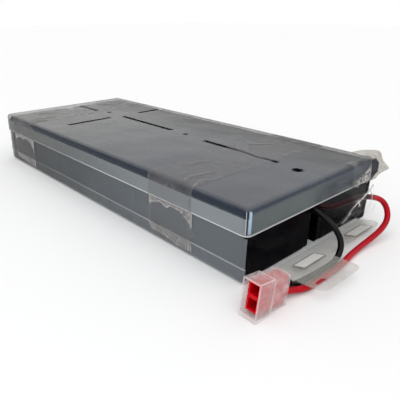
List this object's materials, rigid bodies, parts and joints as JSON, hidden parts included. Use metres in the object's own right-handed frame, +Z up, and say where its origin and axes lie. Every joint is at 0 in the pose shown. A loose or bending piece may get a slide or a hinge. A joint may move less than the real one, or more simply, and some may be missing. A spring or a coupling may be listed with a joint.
{
  "type": "ups battery cartridge",
  "caption": "Battery cartridge for an uninterruptible power supply: sealed batteries taped between formed plastic shells, with a pull tab and leads to a capped power connector.",
  "frame": {"origin": "centre of the tray's flat base, on the surface that the cartridge lies on", "axes": "+X along the cartridge to its front end, where the leads and the pull tab are; +Y to its left side seen from behind; +Z up"},
  "size_m": [0.5175, 0.2389, 0.0696],
  "materials": {
    "shell": "milky translucent formed sheet, satin",
    "battery": "glossy black moulding",
    "battery_cover": "glossy black moulding",
    "terminal": "tinned",
    "sleeve_positive": "insulating sleeve",
    "sleeve_negative": "insulating sleeve",
    "foam": "soft foam strip",
    "jumper_wire": "PVC insulation",
    "connector": "moulded, bright red",
    "contact": "silver-plated copper",
    "cap": "soft clear cap",
    "black_wire": "PVC insulation",
    "red_wire": "PVC insulation",
    "tape": "clear packing tape",
    "film": "thin clear film"
  },
  "bodies": {
    "root": {"tray": "shell", "lid": "shell", "battery_1_case": "battery", "battery_1_cover": "battery_cover", "battery_1_positive_blade": "terminal", "battery_1_positive_receptacle": "sleeve_positive", "battery_1_negative_blade": "terminal", "battery_1_negative_receptacle": "sleeve_negative", "battery_2_case": "battery", "battery_2_cover": "battery_cover", "battery_2_positive_blade": "terminal", "battery_2_positive_receptacle": "sleeve_positive", "battery_2_negative_blade": "terminal", "battery_2_negative_receptacle": "sleeve_negative", "battery_3_case": "battery", "battery_3_cover": "battery_cover", "battery_3_positive_blade": "terminal", "battery_3_positive_receptacle": "sleeve_positive", "battery_3_negative_blade": "terminal", "battery_3_negative_receptacle": "sleeve_negative", "battery_4_case": "battery", "battery_4_cover": "battery_cover", "battery_4_positive_blade": "terminal", "battery_4_positive_receptacle": "sleeve_positive", "battery_4_negative_blade": "terminal", "battery_4_negative_receptacle": "sleeve_negative", "battery_5_case": "battery", "battery_5_cover": "battery_cover", "battery_5_positive_blade": "terminal", "battery_5_positive_receptacle": "sleeve_positive", "battery_5_negative_blade": "terminal", "battery_5_negative_receptacle": "sleeve_negative", "battery_6_case": "battery", "battery_6_cover": "battery_cover", "battery_6_positive_blade": "terminal", "battery_6_positive_receptacle": "sleeve_positive", "battery_6_negative_blade": "terminal", "battery_6_negative_receptacle": "sleeve_negative", "foam_strip_far": "foam", "foam_strip_near": "foam", "jumper_1_2": "jumper_wire", "jumper_2_3": "jumper_wire", "jumper_3_4": "jumper_wire", "jumper_4_5": "jumper_wire", "jumper_5_6": "jumper_wire", "connector_housing_negative": "connector", "connector_housing_positive": "connector", "connector_contact_negative": "contact", "connector_contact_positive": "contact", "connector_cap": "cap", "black_lead": "black_wire", "red_lead": "red_wire", "tape_front": "tape", "tape_rear": "tape", "wrap_film": "film"}
  },
  "joints": []
}
